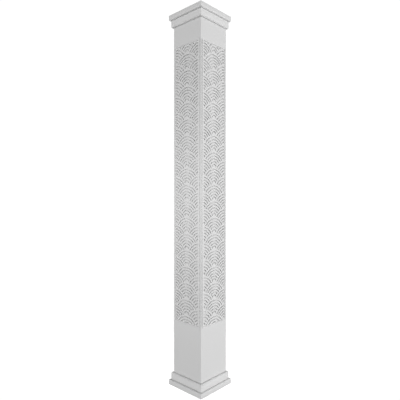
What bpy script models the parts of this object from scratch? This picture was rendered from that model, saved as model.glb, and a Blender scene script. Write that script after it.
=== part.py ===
"""Fretwork column: a hollow square shaft with four pierced panels let into it, a capital and a base.

The column stands on z = 0, centred on the Z axis, with its faces square to X and Y.
Every driving size is a named value below, in metres.
"""

from math import acos, atan2, cos, hypot, pi, sin

import bmesh
import bpy
from mathutils import Matrix

INCH = 0.0254

# Shaft
COLUMN_HEIGHT = 96.0 * INCH
SHAFT_WIDTH = 9.625 * INCH
SHAFT_WALL = 0.75 * INCH
FIT_GAP = 0.0003

# Capital and base: the same two trims, mirrored top to bottom
SLAB_HEIGHT = 1.375 * INCH
SLAB_PROJECTION = 0.9375 * INCH
SLAB_ROUND = 0.28 * INCH
BAND_HEIGHT = 1.875 * INCH
BAND_PROJECTION = 0.5 * INCH
BAND_ROUND = 0.25 * INCH
BAND_STEP = 0.04 * INCH
ROUND_SEGMENTS = 4

# Pockets and panels
PLAIN_BELOW_PANELS = 13.4375 * INCH
PLAIN_ABOVE_PANELS = 5.3125 * INCH
CORNER_RIB = 0.375 * INCH
POCKET_DEPTH = 0.25 * INCH
FIELD_THICKNESS = 0.3125 * INCH
BORDER_WIDTH = 0.3125 * INCH
BORDER_HEIGHT = 0.1875 * INCH

# Overlapping scales: each scale's radius is also the rise from one scale to the next above it
SCALE_SIZE = 4.125 * INCH
SIDE_LEDGE = 0.25 * INCH
END_LEDGE = 0.125 * INCH
RIM_WIDTH = 0.375 * INCH
SLOT_WIDTH = 0.30 * INCH
RIDGE_WIDTH = 0.40 * INCH
MIDDLE_COLUMN_RINGS = (0, 2)
SIDE_COLUMN_RINGS = (0,)
SLOT_SEGMENTS = 3

# Sizes that follow from those above
TRIM_HEIGHT = SLAB_HEIGHT + BAND_HEIGHT
PANEL_BOTTOM = TRIM_HEIGHT + PLAIN_BELOW_PANELS
PANEL_ROOM = COLUMN_HEIGHT - TRIM_HEIGHT - PLAIN_ABOVE_PANELS - PANEL_BOTTOM
SCALE_ROWS = int((PANEL_ROOM - 2 * BORDER_WIDTH) / SCALE_SIZE + 0.01)
FIELD_HEIGHT = SCALE_ROWS * SCALE_SIZE
PANEL_HEIGHT = FIELD_HEIGHT + 2 * BORDER_WIDTH
PANEL_WIDTH = SHAFT_WIDTH - 2 * CORNER_RIB - 2 * FIT_GAP
PANEL_DEPTH = FIELD_THICKNESS + BORDER_HEIGHT
FIELD_HALF_WIDTH = PANEL_WIDTH / 2 - BORDER_WIDTH
SIDE_COLUMNS = int(FIELD_HALF_WIDTH / SCALE_SIZE) + 1
PANEL_BACK_OUT = SHAFT_WIDTH / 2 - POCKET_DEPTH + FIT_GAP
TRIM_HOLE = SHAFT_WIDTH / 2 + FIT_GAP

WHITE_PAINT = (0.80, 0.80, 0.80, 1.0)
PANEL_WHITE = (0.80, 0.80, 0.80, 1.0)


def clear_scene():
    """Remove every object that the scene holds."""
    for old_object in list(bpy.data.objects):
        bpy.data.objects.remove(old_object, do_unlink=True)


def new_collection(name):
    """Return a new collection linked to the scene."""
    collection = bpy.data.collections.new(name)
    bpy.context.scene.collection.children.link(collection)
    return collection


def painted_material(name, colour, roughness):
    """Return a painted finish with the given colour and roughness."""
    material = bpy.data.materials.new(name)
    material.use_nodes = True
    shader = material.node_tree.nodes["Principled BSDF"]
    shader.inputs["Base Color"].default_value = colour
    shader.inputs["Metallic"].default_value = 0.0
    shader.inputs["Roughness"].default_value = roughness
    material.diffuse_color = colour
    return material


def quarter_round(centre_out, centre_z, radius):
    """Return points (out, z) of a convex quarter round, from its top round to its outer side."""
    points = []
    for step in range(ROUND_SEGMENTS + 1):
        angle = pi / 2 * (1 - step / ROUND_SEGMENTS)
        points.append((centre_out + radius * cos(angle), centre_z + radius * sin(angle)))
    return points


def square_ring(name, outer_profile, hole, bottom, top, collection, material, upside_down=False):
    """Make a mitred square ring whose section is swept round the Z axis in four straight runs.

    The profile lists (out, z) points down the outer side. Each point's out value is the half
    width of the ring there, so the section is drawn on the diagonal, where the corners meet.
    """
    section = list(outer_profile) + [(hole, bottom), (hole, top)]
    mesh = bpy.data.meshes.new(name)
    section_mesh = bmesh.new()
    corners = [section_mesh.verts.new((out, out, z)) for out, z in section]
    for corner, following in zip(corners, corners[1:] + corners[:1]):
        section_mesh.edges.new((corner, following))
    section_mesh.to_mesh(mesh)
    section_mesh.free()
    mesh.materials.append(material)
    ring = bpy.data.objects.new(name, mesh)
    collection.objects.link(ring)
    sweep = ring.modifiers.new("four_runs", "SCREW")
    sweep.axis = "Z"
    sweep.angle = 2 * pi
    sweep.steps = 4
    sweep.render_steps = 4
    sweep.use_merge_vertices = True
    sweep.merge_threshold = 0.00001
    sweep.use_smooth_shade = False
    if upside_down:
        ring.rotation_euler = (pi, 0, 0)
        ring.location = (0, 0, COLUMN_HEIGHT)
    return ring


def box(name, size, centre, turn, collection):
    """Return a box of the given size, moved to its centre and then turned about the Z axis."""
    mesh = bpy.data.meshes.new(name)
    box_mesh = bmesh.new()
    bmesh.ops.create_cube(box_mesh, size=1.0, matrix=Matrix.Diagonal((*size, 1.0)))
    bmesh.ops.translate(box_mesh, verts=box_mesh.verts, vec=centre)
    bmesh.ops.rotate(box_mesh, verts=box_mesh.verts, matrix=Matrix.Rotation(turn, 3, "Z"))
    box_mesh.to_mesh(mesh)
    box_mesh.free()
    shape = bpy.data.objects.new(name, mesh)
    collection.objects.link(shape)
    return shape


def cutter_box(name, size, centre, turn, collection):
    """Return a box that only cuts other shapes."""
    cutter = box(name, size, centre, turn, collection)
    cutter.hide_render = True
    cutter.display_type = "WIRE"
    return cutter


def boolean(shape, other, operation):
    """Cut or trim one object by another with a Boolean modifier."""
    modifier = shape.modifiers.new(other.name, "BOOLEAN")
    modifier.operation = operation
    modifier.solver = "EXACT"
    modifier.object = other


def make_shaft(collection, cutters, material):
    """Make the hollow shaft with a shallow pocket in each face."""
    half = SHAFT_WIDTH / 2
    hole = half - SHAFT_WALL
    profile = [(half, COLUMN_HEIGHT), (half, 0.0)]
    shaft = square_ring("shaft", profile, hole, 0.0, COLUMN_HEIGHT, collection, material)
    pocket_size = (PANEL_WIDTH + 2 * FIT_GAP, 2 * POCKET_DEPTH, PANEL_HEIGHT + 2 * FIT_GAP)
    pocket_centre = (0.0, -half, PANEL_BOTTOM + PANEL_HEIGHT / 2)
    for side in range(4):
        turn = side * pi / 2
        pocket = cutter_box(f"pocket_{side + 1}", pocket_size, pocket_centre, turn, cutters)
        boolean(shaft, pocket, "DIFFERENCE")
    return shaft


def make_slab(name, collection, material, upside_down):
    """Make the outermost trim: a flat slab ring with its inner edge rounded over."""
    half = SHAFT_WIDTH / 2 + SLAB_PROJECTION
    profile = quarter_round(half - SLAB_ROUND, SLAB_HEIGHT - SLAB_ROUND, SLAB_ROUND)
    profile.append((half, 0.0))
    return square_ring(name, profile, TRIM_HOLE, 0.0, SLAB_HEIGHT, collection, material, upside_down)


def make_band(name, collection, material, upside_down):
    """Make the inner trim: a band ring with a fine step and a rounded edge next to the shaft."""
    half = SHAFT_WIDTH / 2 + BAND_PROJECTION
    bottom = SLAB_HEIGHT + FIT_GAP
    top = TRIM_HEIGHT
    step_z = top - BAND_ROUND - BAND_STEP
    round_out = half - BAND_STEP
    profile = quarter_round(round_out - BAND_ROUND, top - BAND_ROUND, BAND_ROUND)
    profile += [(round_out, step_z), (half, step_z), (half, bottom)]
    return square_ring(name, profile, TRIM_HOLE, bottom, top, collection, material, upside_down)


def neighbour_angle(radius):
    """Return the angle above level at which a circle round a scale's centre meets the next rim."""
    half_rise = SCALE_SIZE / 2
    spacing = hypot(SCALE_SIZE, half_rise)
    reach = (radius ** 2 + half_rise ** 2) / (2 * radius * spacing)
    return acos(min(1.0, reach)) - atan2(half_rise, SCALE_SIZE)


def slot_line(centre_x, centre_z, radius):
    """Return points (x, z) along the middle of one slot, between the two scales in front of it."""
    start = neighbour_angle(radius)
    points = []
    for step in range(SLOT_SEGMENTS + 1):
        angle = start + (pi - 2 * start) * step / SLOT_SEGMENTS
        points.append((centre_x + radius * cos(angle), centre_z + radius * sin(angle)))
    return points


def slot_lines():
    """Return the middle line of every slot of one panel, with z from the field's foot.

    Scales stand in columns one radius apart, and each column is half a rise off its neighbours.
    """
    lines = []
    for column in range(-SIDE_COLUMNS, SIDE_COLUMNS + 1):
        off_step = column % 2
        rings = SIDE_COLUMN_RINGS if off_step else MIDDLE_COLUMN_RINGS
        for row in range(SCALE_ROWS + 1):
            centre_z = (row - (1 - off_step) / 2) * SCALE_SIZE
            for ring in rings:
                rim_to_middle = RIM_WIDTH + SLOT_WIDTH / 2 + ring * (SLOT_WIDTH + RIDGE_WIDTH)
                line = slot_line(column * SCALE_SIZE, centre_z, SCALE_SIZE - rim_to_middle)
                heights = [z for _, z in line]
                if min(heights) < FIELD_HEIGHT - END_LEDGE and max(heights) > END_LEDGE:
                    lines.append(line)
    return lines


def slot_cutter(collection):
    """Return all slots of one panel as ribbons along their middle lines, given the slots' width."""
    curve = bpy.data.curves.new("slots", "CURVE")
    curve.dimensions = "2D"
    curve.fill_mode = "NONE"
    curve.extrude = PANEL_DEPTH
    for line in slot_lines():
        spline = curve.splines.new("POLY")
        spline.points.add(len(line) - 1)
        for point, (x, z) in zip(spline.points, line):
            point.co = (x, BORDER_WIDTH + z, 0.0, 1.0)
    ribbons = bpy.data.objects.new("slot_ribbons", curve)
    collection.objects.link(ribbons)
    mesh = evaluated_mesh(ribbons, "slots")
    mesh.transform(Matrix.Rotation(pi / 2, 4, "X"))
    bpy.data.objects.remove(ribbons)

    cutter = bpy.data.objects.new("slots", mesh)
    cutter.hide_render = True
    cutter.display_type = "WIRE"
    collection.objects.link(cutter)
    width = cutter.modifiers.new("slot_width", "SOLIDIFY")
    width.thickness = SLOT_WIDTH
    width.offset = 0.0
    width.use_even_offset = True
    return cutter


def evaluated_mesh(shape, name):
    """Return a welded mesh of an object as its modifiers leave it."""
    depsgraph = bpy.context.evaluated_depsgraph_get()
    mesh = bpy.data.meshes.new_from_object(shape.evaluated_get(depsgraph))
    mesh.name = name
    welded = bmesh.new()
    welded.from_mesh(mesh)
    bmesh.ops.remove_doubles(welded, verts=welded.verts, dist=0.00001)
    welded.to_mesh(mesh)
    welded.free()
    return mesh


def panel_mesh(cutters, material):
    """Return the mesh of one fretwork panel: a pierced field inside a raised square-edged border.

    Its foot is at z = 0, its back at y = 0 and its front towards -Y.
    """
    middle = PANEL_HEIGHT / 2
    plate_size = (PANEL_WIDTH, PANEL_DEPTH, PANEL_HEIGHT)
    plate = box("plate", plate_size, (0.0, -PANEL_DEPTH / 2, middle), 0.0, cutters)
    recess_size = (2 * FIELD_HALF_WIDTH, 2 * BORDER_HEIGHT, FIELD_HEIGHT)
    recess = cutter_box("recess", recess_size, (0.0, -PANEL_DEPTH, middle), 0.0, cutters)
    slots = slot_cutter(cutters)
    window_width = 2 * (FIELD_HALF_WIDTH - SIDE_LEDGE)
    window_size = (window_width, 3 * PANEL_DEPTH, FIELD_HEIGHT - 2 * END_LEDGE)
    window = cutter_box("window", window_size, (0.0, 0.0, middle), 0.0, cutters)
    boolean(slots, window, "INTERSECT")
    boolean(plate, recess, "DIFFERENCE")
    boolean(plate, slots, "DIFFERENCE")
    mesh = evaluated_mesh(plate, "fretwork_panel")
    mesh.materials.clear()
    mesh.materials.append(material)
    bpy.data.objects.remove(plate)
    return mesh


def make_panels(collection, cutters, material):
    """Make the four fretwork panels, one on each face of the shaft."""
    mesh = panel_mesh(cutters, material)
    panels = []
    for side, name in enumerate(("front", "right", "back", "left")):
        turn = side * pi / 2
        panel = bpy.data.objects.new(f"fretwork_panel_{name}", mesh)
        panel.rotation_euler = (0, 0, turn)
        panel.location = (PANEL_BACK_OUT * sin(turn), -PANEL_BACK_OUT * cos(turn), PANEL_BOTTOM)
        collection.objects.link(panel)
        panels.append(panel)
    return panels


def main():
    """Build the column and parent its pieces to one empty."""
    clear_scene()
    column = new_collection("fretwork_column")
    cutters = new_collection("cutters")
    shaft_paint = painted_material("shaft_paint", WHITE_PAINT, 0.45)
    panel_paint = painted_material("panel_paint", PANEL_WHITE, 0.40)

    pieces = [make_shaft(column, cutters, shaft_paint)]
    pieces += make_panels(column, cutters, panel_paint)
    pieces.append(make_slab("base_slab", column, shaft_paint, upside_down=False))
    pieces.append(make_band("base_band", column, shaft_paint, upside_down=False))
    pieces.append(make_band("capital_band", column, shaft_paint, upside_down=True))
    pieces.append(make_slab("capital_slab", column, shaft_paint, upside_down=True))

    handle = bpy.data.objects.new("column_handle", None)
    column.objects.link(handle)
    for piece in pieces:
        piece.parent = handle


main()
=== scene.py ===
"""Looks of the fretwork column: pierced panels in raised borders, eased boards, paint, light and camera."""

import logging
from dataclasses import dataclass, field
from enum import Enum
from math import acos, atan2, ceil, cos, hypot, pi, radians, sin
from typing import Any

import bmesh
import bpy
from mathutils import Matrix, Vector
from mathutils.geometry import delaunay_2d_cdt


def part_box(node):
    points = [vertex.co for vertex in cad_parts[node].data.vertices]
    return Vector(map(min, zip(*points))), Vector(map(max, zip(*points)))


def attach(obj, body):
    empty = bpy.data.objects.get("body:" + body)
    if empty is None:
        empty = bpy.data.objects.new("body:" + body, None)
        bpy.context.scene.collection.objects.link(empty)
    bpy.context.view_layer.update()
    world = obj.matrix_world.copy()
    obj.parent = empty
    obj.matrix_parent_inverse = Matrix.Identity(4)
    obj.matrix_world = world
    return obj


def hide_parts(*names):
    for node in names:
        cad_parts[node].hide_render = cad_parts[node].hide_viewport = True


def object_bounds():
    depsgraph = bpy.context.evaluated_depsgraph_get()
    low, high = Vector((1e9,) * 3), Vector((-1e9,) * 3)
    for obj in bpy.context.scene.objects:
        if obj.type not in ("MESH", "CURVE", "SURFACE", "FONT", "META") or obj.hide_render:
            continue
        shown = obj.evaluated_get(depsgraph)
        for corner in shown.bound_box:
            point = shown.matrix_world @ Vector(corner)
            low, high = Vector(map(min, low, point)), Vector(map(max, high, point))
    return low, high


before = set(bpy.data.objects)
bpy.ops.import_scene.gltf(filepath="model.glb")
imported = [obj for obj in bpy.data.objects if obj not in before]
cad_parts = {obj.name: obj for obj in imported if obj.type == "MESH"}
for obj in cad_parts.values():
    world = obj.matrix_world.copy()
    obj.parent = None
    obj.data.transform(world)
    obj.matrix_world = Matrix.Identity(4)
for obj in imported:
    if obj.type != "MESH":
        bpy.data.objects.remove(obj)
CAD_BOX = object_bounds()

LOG = logging.getLogger("fretwork_column")
INCH = 0.0254
FIT_GAP = 0.0003
WELD = 0.000001
NEAR = 0.0001
SMOOTH_TURN = radians(30)
ARRIS_TURN = radians(40)
WHITE = (1.0, 1.0, 1.0, 1.0)


class Face(Enum):
    """The four faces of the column, with the quarter turns from the front to each."""

    FRONT = 0
    RIGHT = 1
    BACK = 2
    LEFT = 3

    @property
    def node(self) -> str:
        """Name of this face's panel in the frame."""
        return f"fretwork_panel_{self.name.lower()}"

    @property
    def turn(self) -> Matrix:
        """Rotation about the column's axis from the front face to this one."""
        return Matrix.Rotation(self.value * pi / 2, 4, "Z")


class End(Enum):
    """The two ends of the column, each with the same trims, and the names of their nodes."""

    BASE = "base"
    CAPITAL = "capital"


@dataclass(frozen=True)
class Signal:
    """A number that varies over a surface, as a node socket that takes the usual maths."""

    graph: "NodeGraph"
    socket: bpy.types.NodeSocket

    def combine(self, operation: str, left: Any, right: Any) -> "Signal":
        """Add a Math node.

        Args:
            operation: The Math node's operation.
            left: First value, a number or a signal.
            right: Second value, a number or a signal.

        Returns:
            The node's result.
        """
        node = self.graph.node("ShaderNodeMath", {"operation": operation}, {0: left, 1: right})
        return Signal(self.graph, node.outputs[0])

    def __add__(self, other: Any) -> "Signal":
        """Sum of this and another value."""
        return self.combine("ADD", self, other)

    def __radd__(self, other: Any) -> "Signal":
        """Sum of a number and this."""
        return self.combine("ADD", other, self)

    def __sub__(self, other: Any) -> "Signal":
        """This less another value."""
        return self.combine("SUBTRACT", self, other)

    def __rsub__(self, other: Any) -> "Signal":
        """A number less this."""
        return self.combine("SUBTRACT", other, self)

    def __mul__(self, other: Any) -> "Signal":
        """Product of this and another value."""
        return self.combine("MULTIPLY", self, other)


class NodeGraph:
    """A node tree of a material or of the world."""

    def __init__(self, tree: bpy.types.NodeTree) -> None:
        """Take the tree to add nodes to."""
        self.tree = tree

    def node(self, kind: str, settings: dict[str, Any], inputs: dict[Any, Any]) -> bpy.types.Node:
        """Add a node.

        Args:
            kind: The node's type.
            settings: Attributes, set before the sockets.
            inputs: Socket names or indices, with a value, a socket or a signal for each.

        Returns:
            The new node.
        """
        node = self.tree.nodes.new(kind)
        for name, value in settings.items():
            setattr(node, name, value)
        for key, value in inputs.items():
            self.feed(node.inputs[key], value)
        return node

    def feed(self, socket: bpy.types.NodeSocket, value: Any) -> None:
        """Link a signal or a socket to an input, or set a plain value on it."""
        source = value.socket if isinstance(value, Signal) else value
        if isinstance(source, bpy.types.NodeSocket):
            self.tree.links.new(source, socket)
        else:
            socket.default_value = source

    def seen_by_camera(
        self, shown: bpy.types.NodeSocket, real: bpy.types.NodeSocket
    ) -> bpy.types.NodeSocket:
        """Return a shader that the camera sees as one thing and all other light as another.

        Args:
            shown: Shader that the camera sees.
            real: Shader that everything else meets.

        Returns:
            The mixed shader.
        """
        path = self.node("ShaderNodeLightPath", {}, {})
        inputs = {0: path.outputs["Is Camera Ray"], 1: real, 2: shown}
        return self.node("ShaderNodeMixShader", {}, inputs).outputs[0]


class FinishGraph(NodeGraph):
    """The node tree of one material, with its Principled shader."""

    def __init__(self, name: str) -> None:
        """Start a material.

        Args:
            name: The material's name.
        """
        self.material = bpy.data.materials.new(name)
        self.material.use_nodes = True
        super().__init__(self.material.node_tree)
        self.shader = self.tree.nodes["Principled BSDF"]

    def place(self, stretch: tuple[float, float, float]) -> bpy.types.NodeSocket:
        """Return object coordinates, stretched along each axis."""
        where = self.node("ShaderNodeTexCoord", {}, {})
        inputs = {"Vector": where.outputs["Object"], "Scale": stretch}
        return self.node("ShaderNodeMapping", {}, inputs).outputs["Vector"]

    def noise(self, scale: float, detail: float, stretch: tuple[float, float, float] = (1, 1, 1)) -> Signal:
        """Return soft noise from 0 to 1 about 0.5.

        Args:
            scale: Lumps per metre.
            detail: Number of finer octaves.
            stretch: Stretch of the pattern along X, Y and Z.

        Returns:
            The noise.
        """
        inputs = {"Vector": self.place(stretch), "Scale": scale, "Detail": detail}
        node = self.node("ShaderNodeTexNoise", {"noise_dimensions": "3D"}, inputs)
        return Signal(self, node.outputs[0])

    def between(self, factor: Any, low: tuple[float, ...], high: tuple[float, ...]) -> bpy.types.NodeSocket:
        """Return a colour mixed from two by a factor."""
        inputs = {0: factor, 6: low, 7: high}
        settings = {"data_type": "RGBA", "blend_type": "MIX", "clamp_factor": True}
        return self.node("ShaderNodeMix", settings, inputs).outputs[2]


@dataclass(frozen=True)
class BoardPaint:
    """Factory white paint on cellular board: soft sheen, faint cloudiness and a fine roller texture."""

    name: str
    bright: tuple[float, float, float, float]
    dull: tuple[float, float, float, float]
    roughness: float
    roughness_spread: float
    cloud_scale: float = 3.0
    cloud_detail: float = 3.0
    cloud_share: float = 0.7
    drag_scale: float = 120.0
    drag_stretch: tuple[float, float, float] = (1.0, 1.0, 0.05)
    fine_detail: float = 2.0
    texture_scale: float = 900.0
    texture_depth: float = 0.00002

    def material(self) -> bpy.types.Material:
        """Return the finish as a material."""
        graph = FinishGraph(self.name)
        clouds = graph.noise(self.cloud_scale, self.cloud_detail)
        drag = graph.noise(self.drag_scale, self.fine_detail, self.drag_stretch)
        dullness = clouds * self.cloud_share + drag * (1.0 - self.cloud_share)
        graph.feed(graph.shader.inputs["Base Color"], graph.between(dullness, self.bright, self.dull))
        sheen = self.roughness + (clouds - 0.5) * self.roughness_spread
        graph.feed(graph.shader.inputs["Roughness"], sheen + (drag - 0.5) * self.roughness_spread)
        peel = graph.noise(self.texture_scale, self.fine_detail)
        bump_inputs = {"Height": peel, "Distance": self.texture_depth, "Strength": 1.0}
        bump = graph.node("ShaderNodeBump", {}, bump_inputs)
        graph.feed(graph.shader.inputs["Normal"], bump.outputs["Normal"])
        return graph.material


SHAFT_PAINT = BoardPaint("shaft_paint", (0.765, 0.765, 0.765, 1), (0.735, 0.735, 0.735, 1), 0.45, 0.08)
TRIM_PAINT = BoardPaint("trim_paint", (0.80, 0.80, 0.80, 1), (0.78, 0.78, 0.78, 1), 0.42, 0.08)
PANEL_PAINT = BoardPaint("panel_paint", (0.79, 0.79, 0.79, 1), (0.76, 0.76, 0.76, 1), 0.38, 0.08)


def add_piece(name: str, shape: bmesh.types.BMesh, material: bpy.types.Material) -> bpy.types.Object:
    """Turn a finished bmesh into a piece of the column.

    Args:
        name: The piece's name.
        shape: Its shape, which is freed.
        material: Its finish.

    Returns:
        The piece.
    """
    mesh = bpy.data.meshes.new(name)
    shape.to_mesh(mesh)
    shape.free()
    mesh.materials.append(material)
    mesh.shade_smooth()
    mesh.set_sharp_from_angle(angle=SMOOTH_TURN)
    piece = bpy.data.objects.new(name, mesh)
    bpy.context.scene.collection.objects.link(piece)
    return piece


def tidy_normals(shape: bmesh.types.BMesh) -> None:
    """Weld doubles and make every face point outwards."""
    bmesh.ops.remove_doubles(shape, verts=shape.verts, dist=WELD)
    bmesh.ops.recalc_face_normals(shape, faces=shape.faces)


def join(shape: bmesh.types.BMesh, other: bmesh.types.BMesh) -> None:
    """Move the other shape's faces into the first, and free it."""
    carrier = bpy.data.meshes.new("carrier")
    other.to_mesh(carrier)
    other.free()
    shape.from_mesh(carrier)
    bpy.data.meshes.remove(carrier)


def arrises(shape: bmesh.types.BMesh) -> list[bmesh.types.BMEdge]:
    """Return the sharp convex edges."""
    return [e for e in shape.edges if e.is_manifold and e.is_convex and e.calc_face_angle(0) > ARRIS_TURN]


@dataclass
class ShaftBoards:
    """The hollow shaft, with eased corners and a shallow pocket in each face."""

    wall: float = 0.75 * INCH
    corner_ease: float = 0.0006
    ease_steps: int = 3
    half: float = field(init=False)
    height: float = field(init=False)
    pocket: tuple[float, float, float] = field(init=False)
    pocket_depth: float = field(init=False)

    def __post_init__(self) -> None:
        """Read the shaft's and the pockets' sizes from the frame."""
        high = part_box("shaft")[1]
        self.half = high.x
        self.height = high.z
        low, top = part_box(Face.FRONT.node)
        self.pocket = (top.x + FIT_GAP, low.z - FIT_GAP, top.z + FIT_GAP)
        self.pocket_depth = self.half + top.y + FIT_GAP

    def tube(self, half: float, inwards: bool) -> bmesh.types.BMesh:
        """Return an open square tube, centred on the axis.

        Args:
            half: Half its width.
            inwards: Whether its faces look at the axis.

        Returns:
            The tube.
        """
        shape = bmesh.new()
        size = Matrix.Diagonal((2 * half, 2 * half, self.height, 1.0))
        bmesh.ops.create_cube(shape, size=1.0, matrix=Matrix.Translation((0, 0, self.height / 2)) @ size)
        caps = [f for f in shape.faces if abs(f.normal.z) > 0.5]
        bmesh.ops.delete(shape, geom=caps, context="FACES_ONLY")
        if inwards:
            bmesh.ops.reverse_faces(shape, faces=shape.faces)
        return shape

    def cut_lines(self, shape: bmesh.types.BMesh) -> None:
        """Score the tube along the edges of the four pockets."""
        half_width, bottom, top = self.pocket
        planes = [((side * half_width, 0, 0), (1, 0, 0)) for side in (-1, 1)]
        planes += [((0, side * half_width, 0), (0, 1, 0)) for side in (-1, 1)]
        planes += [((0, 0, z), (0, 0, 1)) for z in (bottom, top)]
        for point, normal in planes:
            geometry = shape.verts[:] + shape.edges[:] + shape.faces[:]
            bmesh.ops.bisect_plane(shape, geom=geometry, dist=WELD, plane_co=point, plane_no=normal)

    def sink_pockets(self, shape: bmesh.types.BMesh) -> None:
        """Push each scored face inwards to make its pocket."""
        half_width, bottom, top = self.pocket
        for face in list(shape.faces):
            middle = face.calc_center_median()
            outermost = abs(max(abs(middle.x), abs(middle.y)) - self.half) < NEAR
            centred = min(abs(middle.x), abs(middle.y)) < half_width
            if outermost and centred and bottom < middle.z < top:
                push = -self.pocket_depth * face.normal
                made = bmesh.ops.extrude_discrete_faces(shape, faces=[face])["faces"]
                bmesh.ops.translate(shape, verts=made[0].verts, vec=push)

    def build(self, material: bpy.types.Material) -> bpy.types.Object:
        """Return the shaft as a piece."""
        shape = self.tube(self.half, inwards=False)
        corners = [e for e in shape.edges if abs(e.verts[0].co.z - e.verts[1].co.z) > 0.5]
        bmesh.ops.bevel(
            shape, geom=corners, offset=self.corner_ease, segments=self.ease_steps,
            profile=0.5, affect="EDGES", material=-1,
        )
        self.cut_lines(shape)
        self.sink_pockets(shape)
        join(shape, self.tube(self.half - self.wall, inwards=True))
        rims = [e for e in shape.edges if e.is_boundary]
        for level in (0.0, self.height):
            ends = [e for e in rims if all(abs(v.co.z - level) < NEAR for v in e.verts)]
            bmesh.ops.bridge_loops(shape, edges=ends)
        tidy_normals(shape)
        return add_piece("shaft_boards", shape, material)


@dataclass
class Scales:
    """The traditional pattern of overlapping scales, each with five curved slots round a hub."""

    size: float = 4.125 * INCH
    rim: float = 0.375 * INCH
    slot: float = 0.30 * INCH
    ridge: float = 0.40 * INCH
    slots: int = 5
    arc_step: float = 0.25 * INCH
    least_steps: int = 4
    corner_radius: float = 0.09 * INCH
    corner_steps: int = 3

    def rim_angle(self, radius: float) -> float:
        """Return the angle above level at which a circle round a scale meets its neighbour's rim."""
        half_rise = self.size / 2
        spacing = hypot(self.size, half_rise)
        reach = (radius ** 2 + half_rise ** 2) / (2 * radius * spacing)
        return acos(min(1.0, reach)) - atan2(half_rise, self.size)

    def radii(self, index: int) -> tuple[float, float]:
        """Return the inner and outer radius of one slot, counted from the rim."""
        outer = self.size - self.rim - index * (self.slot + self.ridge)
        return outer - self.slot, outer

    def strip(
        self,
        shape: bmesh.types.BMesh,
        centre: Vector,
        radii: tuple[float, float],
        starts: tuple[float, float],
        stops: tuple[float, float],
    ) -> None:
        """Add one flat slot in the XZ plane, swept round a scale's centre.

        Args:
            shape: Where the slot is added.
            centre: The scale's centre.
            radii: Inner and outer radius.
            starts: Angles where the inner and outer edge start, from +X towards +Z.
            stops: Angles where they stop.
        """
        start = sum(starts) / 2
        stop = sum(stops) / 2
        middle = sum(radii) / 2
        ends = [shape.verts.new(centre + Vector((r * cos(start), 0, r * sin(start)))) for r in radii]
        edge = shape.edges.new(ends)
        steps = max(self.least_steps, ceil(middle * (stop - start) / self.arc_step))
        swept = bmesh.ops.spin(
            shape, geom=[*ends, edge], cent=centre, axis=(0, -1, 0), angle=stop - start,
            steps=steps, use_duplicate=False,
        )
        last = [v for v in swept["geom_last"] if isinstance(v, bmesh.types.BMVert)]
        last.sort(key=lambda v: (v.co - centre).length)
        for row, angles in ((ends, starts), (last, stops)):
            for vert, radius, angle in zip(row, radii, angles):
                vert.co = centre + Vector((radius * cos(angle), 0, radius * sin(angle)))

    def add_scale(self, shape: bmesh.types.BMesh, centre: Vector, side: int, side_room: float) -> None:
        """Add the slots of one scale.

        Args:
            shape: Where the slots are added.
            centre: The scale's centre.
            side: 0 for a whole scale, -1 or 1 for a half one cut off on that side.
            side_room: Way from a half scale's centre to where its slots stop.
        """
        for index in range(self.slots):
            radii = self.radii(index)
            rims = tuple(self.rim_angle(r) for r in radii)
            stiles = tuple(acos(side_room / r) for r in radii)
            left_rims = tuple(pi - a for a in rims)
            left_stiles = tuple(pi - a for a in stiles)
            starts = left_stiles if side > 0 else rims
            stops = stiles if side < 0 else left_rims
            self.strip(shape, centre, radii, starts, stops)


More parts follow.
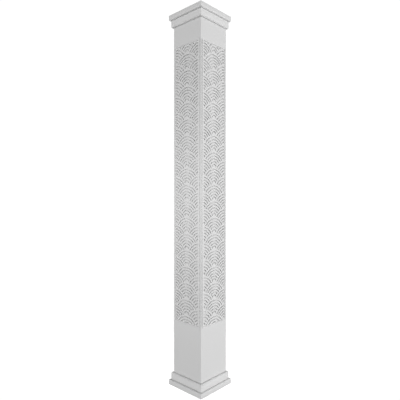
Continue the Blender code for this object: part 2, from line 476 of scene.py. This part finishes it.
@dataclass
class FretworkPanel:
    """One panel: a flat field cut by every slot of the scales, inside a raised border."""

    scales: Scales = field(default_factory=Scales)
    field_thickness: float = 0.3125 * INCH
    border_width: float = 0.3125 * INCH
    side_ledge: float = 0.25 * INCH
    end_ledge: float = 0.125 * INCH
    slot_ease: float = 0.0005
    border_ease: float = 0.0008
    border_ease_steps: int = 2
    root: float = 0.0005
    fill_without_holes: int = 2
    fill_weld: float = 0.0000001
    low: Vector = field(init=False)
    high: Vector = field(init=False)

    def __post_init__(self) -> None:
        """Read the front panel's place from the frame."""
        self.low, self.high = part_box(Face.FRONT.node)

    @property
    def field_y(self) -> float:
        """Place of the field's outer side."""
        return self.high.y - self.field_thickness

    def rectangle(self, shape: bmesh.types.BMesh, inset: float, y: float) -> list[bmesh.types.BMEdge]:
        """Add a rectangle of four edges.

        Args:
            shape: Where the edges are added.
            inset: Way in from the panel's outer edge.
            y: Place of its plane.

        Returns:
            The edges.
        """
        left, right = self.low.x + inset, self.high.x - inset
        bottom, top = self.low.z + inset, self.high.z - inset
        places = [(left, bottom), (right, bottom), (right, top), (left, top)]
        corners = [shape.verts.new((x, y, z)) for x, z in places]
        return [shape.edges.new(pair) for pair in zip(corners, corners[1:] + corners[:1])]

    def slot_faces(self) -> bmesh.types.BMesh:
        """Return every slot as a flat face strip in the field's outer plane."""
        shape = bmesh.new()
        bottom = self.low.z + self.border_width
        top = self.high.z - self.border_width
        size = self.scales.size
        side_room = size - (self.high.x - self.border_width - self.side_ledge)
        rows = round((top - bottom) / size)
        for row in range(rows + 1):
            middle = Vector((0, self.field_y, bottom + (row - 0.5) * size))
            self.scales.add_scale(shape, middle, 0, side_room)
            if row == rows:
                continue
            for side in (-1, 1):
                beside = Vector((side * size, self.field_y, bottom + row * size))
                self.scales.add_scale(shape, beside, side, side_room)
        for level, outwards in ((bottom + self.end_ledge, -1), (top - self.end_ledge, 1)):
            geometry = shape.verts[:] + shape.edges[:] + shape.faces[:]
            bmesh.ops.bisect_plane(
                shape, geom=geometry, dist=WELD, plane_co=(0, 0, level),
                plane_no=(0, 0, outwards), clear_outer=True,
            )
        return shape

    def round_corners(self, shape: bmesh.types.BMesh) -> None:
        """Round the slots' corners as the cutter leaves them."""
        corners = [v for v in shape.verts if len(v.link_faces) == 1]
        bmesh.ops.bevel(
            shape, geom=corners, offset=self.scales.corner_radius, segments=self.scales.corner_steps,
            profile=0.5, affect="VERTICES", clamp_overlap=True, material=-1,
        )

    def sheet(self) -> bmesh.types.BMesh:
        """Return the field's outer side as a flat sheet of triangles: the panel less every slot."""
        outline = self.slot_faces()
        self.round_corners(outline)
        bmesh.ops.dissolve_faces(outline, faces=outline.faces[:])
        outline.faces.new([e.verts[0] for e in self.rectangle(outline, 0.0, self.field_y)])
        outline.verts.index_update()
        places = [Vector((v.co.x, v.co.z)) for v in outline.verts]
        loops = [[v.index for v in f.verts] for f in outline.faces]
        filled = delaunay_2d_cdt(places, [], loops, self.fill_without_holes, self.fill_weld)
        points, _, triangles = filled[:3]
        outline.free()
        sheet = bmesh.new()
        corners = [sheet.verts.new((x, self.field_y, z)) for x, z in points]
        for triangle in triangles:
            sheet.faces.new([corners[i] for i in triangle])
        return sheet

    def board(self) -> bmesh.types.BMesh:
        """Return the pierced board, which runs on under the border, its slots' edges eased."""
        shape = self.sheet()
        made = bmesh.ops.extrude_face_region(shape, geom=shape.faces[:])["geom"]
        verts = [v for v in made if isinstance(v, bmesh.types.BMVert)]
        bmesh.ops.translate(shape, verts=verts, vec=(0, self.field_thickness, 0))
        tidy_normals(shape)
        self.ease_front(shape, self.field_y, self.slot_ease, 1)
        return shape

    def border(self) -> bmesh.types.BMesh:
        """Return the raised border, a closed ring of square section set into the board's front."""
        shape = bmesh.new()
        outer = self.rectangle(shape, 0.0, self.low.y)
        inner = self.rectangle(shape, self.border_width, self.low.y)
        ring = bmesh.ops.bridge_loops(shape, edges=outer + inner)["faces"]
        made = bmesh.ops.extrude_face_region(shape, geom=ring)["geom"]
        verts = [v for v in made if isinstance(v, bmesh.types.BMVert)]
        depth = self.field_y + self.root - self.low.y
        bmesh.ops.translate(shape, verts=verts, vec=(0, depth, 0))
        tidy_normals(shape)
        self.ease_front(shape, self.low.y, self.border_ease, self.border_ease_steps)
        return shape

    def ease_front(self, shape: bmesh.types.BMesh, y: float, ease: float, steps: int) -> None:
        """Ease the sharp edges that lie in one plane.

        Args:
            shape: The shape.
            y: Place of the plane.
            ease: Width of the eased edge.
            steps: Number of faces across it.
        """
        edges = [e for e in arrises(shape) if all(abs(v.co.y - y) < NEAR for v in e.verts)]
        bmesh.ops.bevel(
            shape, geom=edges, offset=ease, segments=steps, profile=0.5,
            affect="EDGES", clamp_overlap=True, material=-1,
        )

    def build(self, material: bpy.types.Material) -> list[bpy.types.Object]:
        """Return the four panels, each a copy of the front one turned to its face."""
        shape = self.board()
        join(shape, self.border())
        gaps = sum(not e.is_manifold for e in shape.edges)
        LOG.info("one panel: %d faces, %d open edges", len(shape.faces), gaps)
        pieces = []
        for face in Face:
            copy = shape.copy()
            bmesh.ops.transform(copy, matrix=face.turn, verts=copy.verts)
            piece = add_piece(f"pierced_panel_{face.name.lower()}", copy, material)
            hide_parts(face.node)
            pieces.append(piece)
        shape.free()
        return pieces


@dataclass
class SquareTrim:
    """A square moulded ring, swept round the shaft from a section drawn on the corner's diagonal."""

    node: str
    end: End
    rounding: float
    step: float
    arris: float = 0.0005
    arris_steps: int = 2
    round_steps: int = 10
    inset: float = 0.000002
    low: Vector = field(init=False)
    high: Vector = field(init=False)
    hole: float = field(init=False)

    def __post_init__(self) -> None:
        """Read the ring's place from the frame."""
        self.low, self.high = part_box(self.node)
        self.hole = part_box("shaft")[1].x + FIT_GAP

    def section(self) -> list[tuple[float, float]]:
        """Return the section as (out, z) points, down the outer side and up the hole."""
        out = self.high.x - self.inset
        height = self.high.z - self.low.z
        shoulder = out - self.step
        points = []
        for index in range(self.round_steps + 1):
            angle = pi / 2 * (1 - index / self.round_steps)
            across = shoulder - self.rounding + self.rounding * cos(angle)
            points.append((across, height - self.rounding + self.rounding * sin(angle)))
        if self.step > 0:
            drop = height - self.rounding - self.step
            points += [(shoulder, drop), (out, drop)]
        points += [(out, 0.0), (self.hole, 0.0), (self.hole, height)]
        return points

    def build(self, material: bpy.types.Material) -> bpy.types.Object:
        """Return the ring as a piece."""
        shape = bmesh.new()
        corners = [shape.verts.new((out, out, z)) for out, z in self.section()]
        edges = [shape.edges.new(pair) for pair in zip(corners, corners[1:] + corners[:1])]
        bmesh.ops.spin(
            shape, geom=corners + edges, cent=(0, 0, 0), axis=(0, 0, 1), angle=2 * pi,
            steps=4, use_merge=True, use_duplicate=False,
        )
        tidy_normals(shape)
        bmesh.ops.bevel(
            shape, geom=arrises(shape), offset=self.arris, segments=self.arris_steps, profile=0.5,
            affect="EDGES", clamp_overlap=True, material=-1,
        )
        if self.end is End.CAPITAL:
            bmesh.ops.scale(shape, vec=(1, 1, -1), verts=shape.verts)
            bmesh.ops.translate(shape, vec=(0, 0, self.high.z), verts=shape.verts)
        else:
            bmesh.ops.translate(shape, vec=(0, 0, self.low.z), verts=shape.verts)
        tidy_normals(shape)
        piece = add_piece(f"{self.node}_moulding", shape, material)
        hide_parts(self.node)
        return piece


@dataclass(frozen=True)
class Softbox:
    """A level rectangular light that looks at the column's middle.

    Its azimuth is in degrees from the front towards the right, its distance and size in metres and
    its power in watts.
    """

    name: str
    azimuth: float
    distance: float
    width: float
    height: float
    power: float

    def build(self) -> None:
        """Add the light, unseen by the camera."""
        light = bpy.data.lights.new(self.name, "AREA")
        light.shape = "RECTANGLE"
        light.size = self.width
        light.size_y = self.height
        light.energy = self.power
        lamp = bpy.data.objects.new(self.name, light)
        lamp.visible_camera = False
        away = Vector((sin(radians(self.azimuth)), -cos(radians(self.azimuth)), 0))
        lamp.location = away * self.distance + Vector((0, 0, CAD_BOX[1].z / 2))
        lamp.rotation_euler = away.to_track_quat("Z", "Y").to_euler()
        bpy.context.scene.collection.objects.link(lamp)


FRONT_SOFTBOX = Softbox("front_softbox", azimuth=14.0, distance=0.9, width=0.3, height=0.3, power=1.3)
REAR_SOFTBOX = Softbox("rear_softbox", azimuth=118.0, distance=4.0, width=1.2, height=5.0, power=48.5)


@dataclass
class Studio:
    """A plain white floor and soft level light, brightest from the front and from behind on the right."""

    surround: float = 1.345
    backdrop: float = 1.05
    softboxes: tuple[Softbox, ...] = (FRONT_SOFTBOX, REAR_SOFTBOX)
    floor_radius: float = 1.0
    floor_segments: int = 64
    floor_albedo: tuple[float, float, float, float] = (0.9, 0.9, 0.9, 1.0)
    floor_roughness: float = 0.9

    def world(self) -> None:
        """Light the scene from all round, mostly level, with a white backdrop behind the column."""
        world = bpy.data.worlds.new("white_surround")
        world.use_nodes = True
        bpy.context.scene.world = world
        graph = NodeGraph(world.node_tree)
        where = graph.node("ShaderNodeTexCoord", {}, {})
        parts = graph.node("ShaderNodeSeparateXYZ", {}, {0: where.outputs["Object"]})
        rise = Signal(graph, parts.outputs[2])
        level = 1.0 - rise * rise
        level_squared = level * level
        strength = level_squared * level_squared * self.surround
        light = graph.node("ShaderNodeBackground", {}, {"Color": WHITE, "Strength": strength})
        wall = graph.node("ShaderNodeBackground", {}, {"Color": WHITE, "Strength": self.backdrop})
        mixed = graph.seen_by_camera(wall.outputs[0], light.outputs[0])
        graph.feed(graph.tree.nodes["World Output"].inputs["Surface"], mixed)

    def floor(self) -> None:
        """Lay a plain white floor, which the camera sees but which neither blocks nor returns light."""
        shape = bmesh.new()
        bmesh.ops.create_circle(
            shape, cap_ends=True, segments=self.floor_segments, radius=self.floor_radius,
        )
        mesh = bpy.data.meshes.new("floor")
        shape.to_mesh(mesh)
        shape.free()
        graph = FinishGraph("white_floor")
        graph.shader.inputs["Base Color"].default_value = self.floor_albedo
        graph.shader.inputs["Roughness"].default_value = self.floor_roughness
        graph.shader.inputs["Emission Color"].default_value = WHITE
        graph.shader.inputs["Emission Strength"].default_value = 1.0
        mesh.materials.append(graph.material)
        floor = bpy.data.objects.new("floor", mesh)
        floor.visible_diffuse = False
        floor.visible_glossy = False
        floor.visible_shadow = False
        bpy.context.scene.collection.objects.link(floor)

    def build(self) -> None:
        """Make the surround, the lights and the floor."""
        self.world()
        for softbox in self.softboxes:
            softbox.build()
        self.floor()
        bpy.context.scene.view_settings.view_transform = "Standard"


@dataclass(frozen=True)
class Viewpoint:
    """The camera, level at the column's mid-height and turned towards its near corner."""

    azimuth: float = 43.14
    distance: float = 99.733 * INCH
    focal_pixels: float = 381.5
    frame_pixels: float = 400.0
    sensor: float = 36.0

    def build(self) -> None:
        """Add the camera and make it the scene's own."""
        data = bpy.data.cameras.new("viewpoint")
        data.sensor_width = self.sensor
        data.lens = self.sensor * self.focal_pixels / self.frame_pixels
        camera = bpy.data.objects.new("viewpoint", data)
        angle = radians(self.azimuth)
        away = Vector((sin(angle), -cos(angle), 0))
        camera.location = away * self.distance + Vector((0, 0, CAD_BOX[1].z / 2))
        camera.rotation_euler = (pi / 2, 0, angle)
        bpy.context.scene.collection.objects.link(camera)
        bpy.context.scene.camera = camera


def main() -> None:
    """Build the column's pieces, then the studio and the camera."""
    logging.basicConfig(level=logging.INFO)
    shaft_paint = SHAFT_PAINT.material()
    trim_paint = TRIM_PAINT.material()
    panel_paint = PANEL_PAINT.material()

    shaft = ShaftBoards().build(shaft_paint)
    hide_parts("shaft")
    pieces = {shaft: SHAFT_PAINT.name}
    for panel in FretworkPanel().build(panel_paint):
        pieces[panel] = PANEL_PAINT.name
    for end in End:
        slab = SquareTrim(f"{end.value}_slab", end, rounding=0.28 * INCH, step=0.0)
        band = SquareTrim(f"{end.value}_band", end, rounding=0.25 * INCH, step=0.04 * INCH)
        for trim in (slab, band):
            pieces[trim.build(trim_paint)] = SHAFT_PAINT.name
    for piece, slot in pieces.items():
        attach(piece, "root")
        LOG.info("%s: %d faces", piece.name, len(piece.data.polygons))

    Studio().build()
    Viewpoint().build()


if __name__ == "__main__":
    main()
